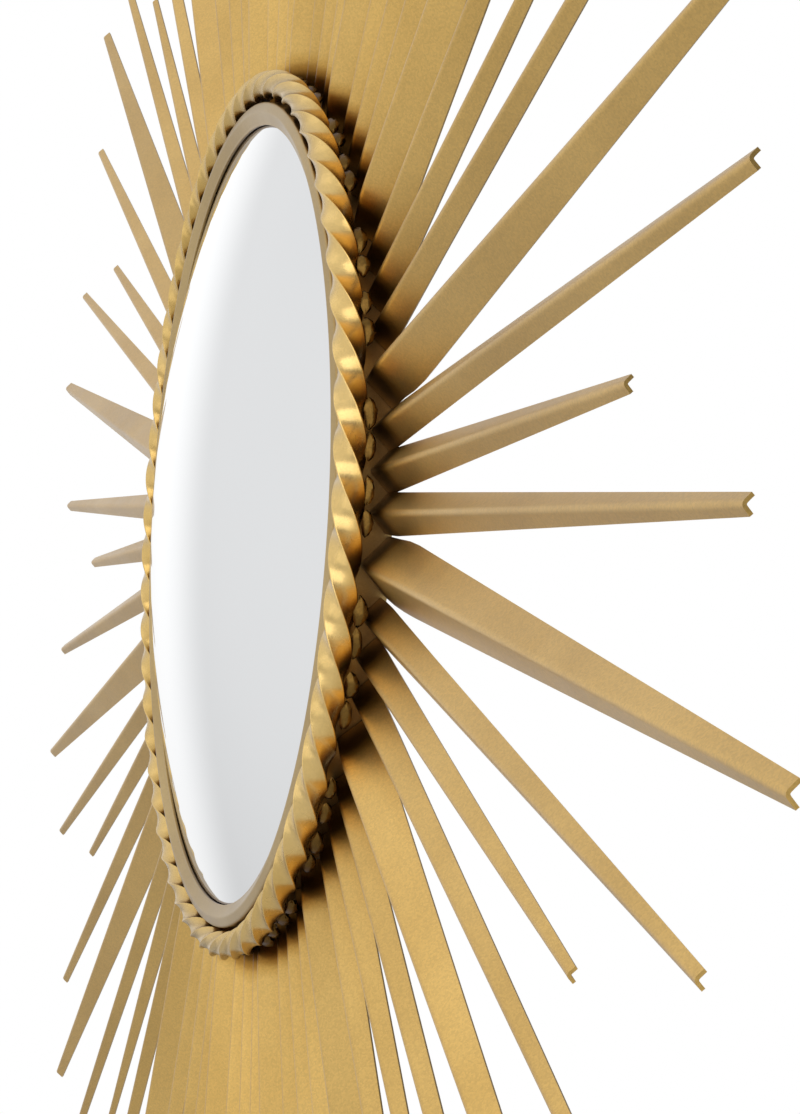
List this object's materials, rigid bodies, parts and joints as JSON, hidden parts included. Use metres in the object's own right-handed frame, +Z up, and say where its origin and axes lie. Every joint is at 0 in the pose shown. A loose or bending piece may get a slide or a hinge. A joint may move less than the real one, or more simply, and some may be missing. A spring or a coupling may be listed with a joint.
{
  "type": "wall mirror",
  "caption": "Sunburst wall mirror: round convex glass in a shallow metal pan, ringed by a twisted bar and by folded tapering rays of alternating width and length.",
  "frame": {"origin": "middle of the back board's rear face, where the mirror bears on the wall of the room", "axes": "+Z up, +Y into the wall of the room, so the mirror faces -Y; +X to the right of someone who looks at it"},
  "size_m": [1.106, 0.0465, 1.106],
  "materials": {
    "silvered_glass": "polished convex mirror",
    "pan_gilt": "satin aged gilt",
    "bar_gilt": "satin aged gilt, brighter on the arrises",
    "ray_gilt": "satin aged gilt with fine metallic speckle",
    "board": "dark stained fibreboard",
    "hanger_steel": "zinc plated"
  },
  "bodies": {
    "root": {"mirror_glass": "silvered_glass", "bezel_pan": "pan_gilt", "twisted_ring": "bar_gilt", "wide_ray_01": "ray_gilt", "wide_ray_02": "ray_gilt", "wide_ray_03": "ray_gilt", "wide_ray_04": "ray_gilt", "wide_ray_05": "ray_gilt", "wide_ray_06": "ray_gilt", "wide_ray_07": "ray_gilt", "wide_ray_08": "ray_gilt", "wide_ray_09": "ray_gilt", "wide_ray_10": "ray_gilt", "wide_ray_11": "ray_gilt", "wide_ray_12": "ray_gilt", "wide_ray_13": "ray_gilt", "wide_ray_14": "ray_gilt", "wide_ray_15": "ray_gilt", "wide_ray_16": "ray_gilt", "ray_fan_01": "ray_gilt", "ray_fan_02": "ray_gilt", "ray_fan_03": "ray_gilt", "ray_fan_04": "ray_gilt", "ray_fan_05": "ray_gilt", "ray_fan_06": "ray_gilt", "ray_fan_07": "ray_gilt", "ray_fan_08": "ray_gilt", "ray_fan_09": "ray_gilt", "ray_fan_10": "ray_gilt", "ray_fan_11": "ray_gilt", "ray_fan_12": "ray_gilt", "ray_fan_13": "ray_gilt", "ray_fan_14": "ray_gilt", "ray_fan_15": "ray_gilt", "ray_fan_16": "ray_gilt", "back_board": "board", "hanger_plate": "hanger_steel"}
  },
  "joints": []
}
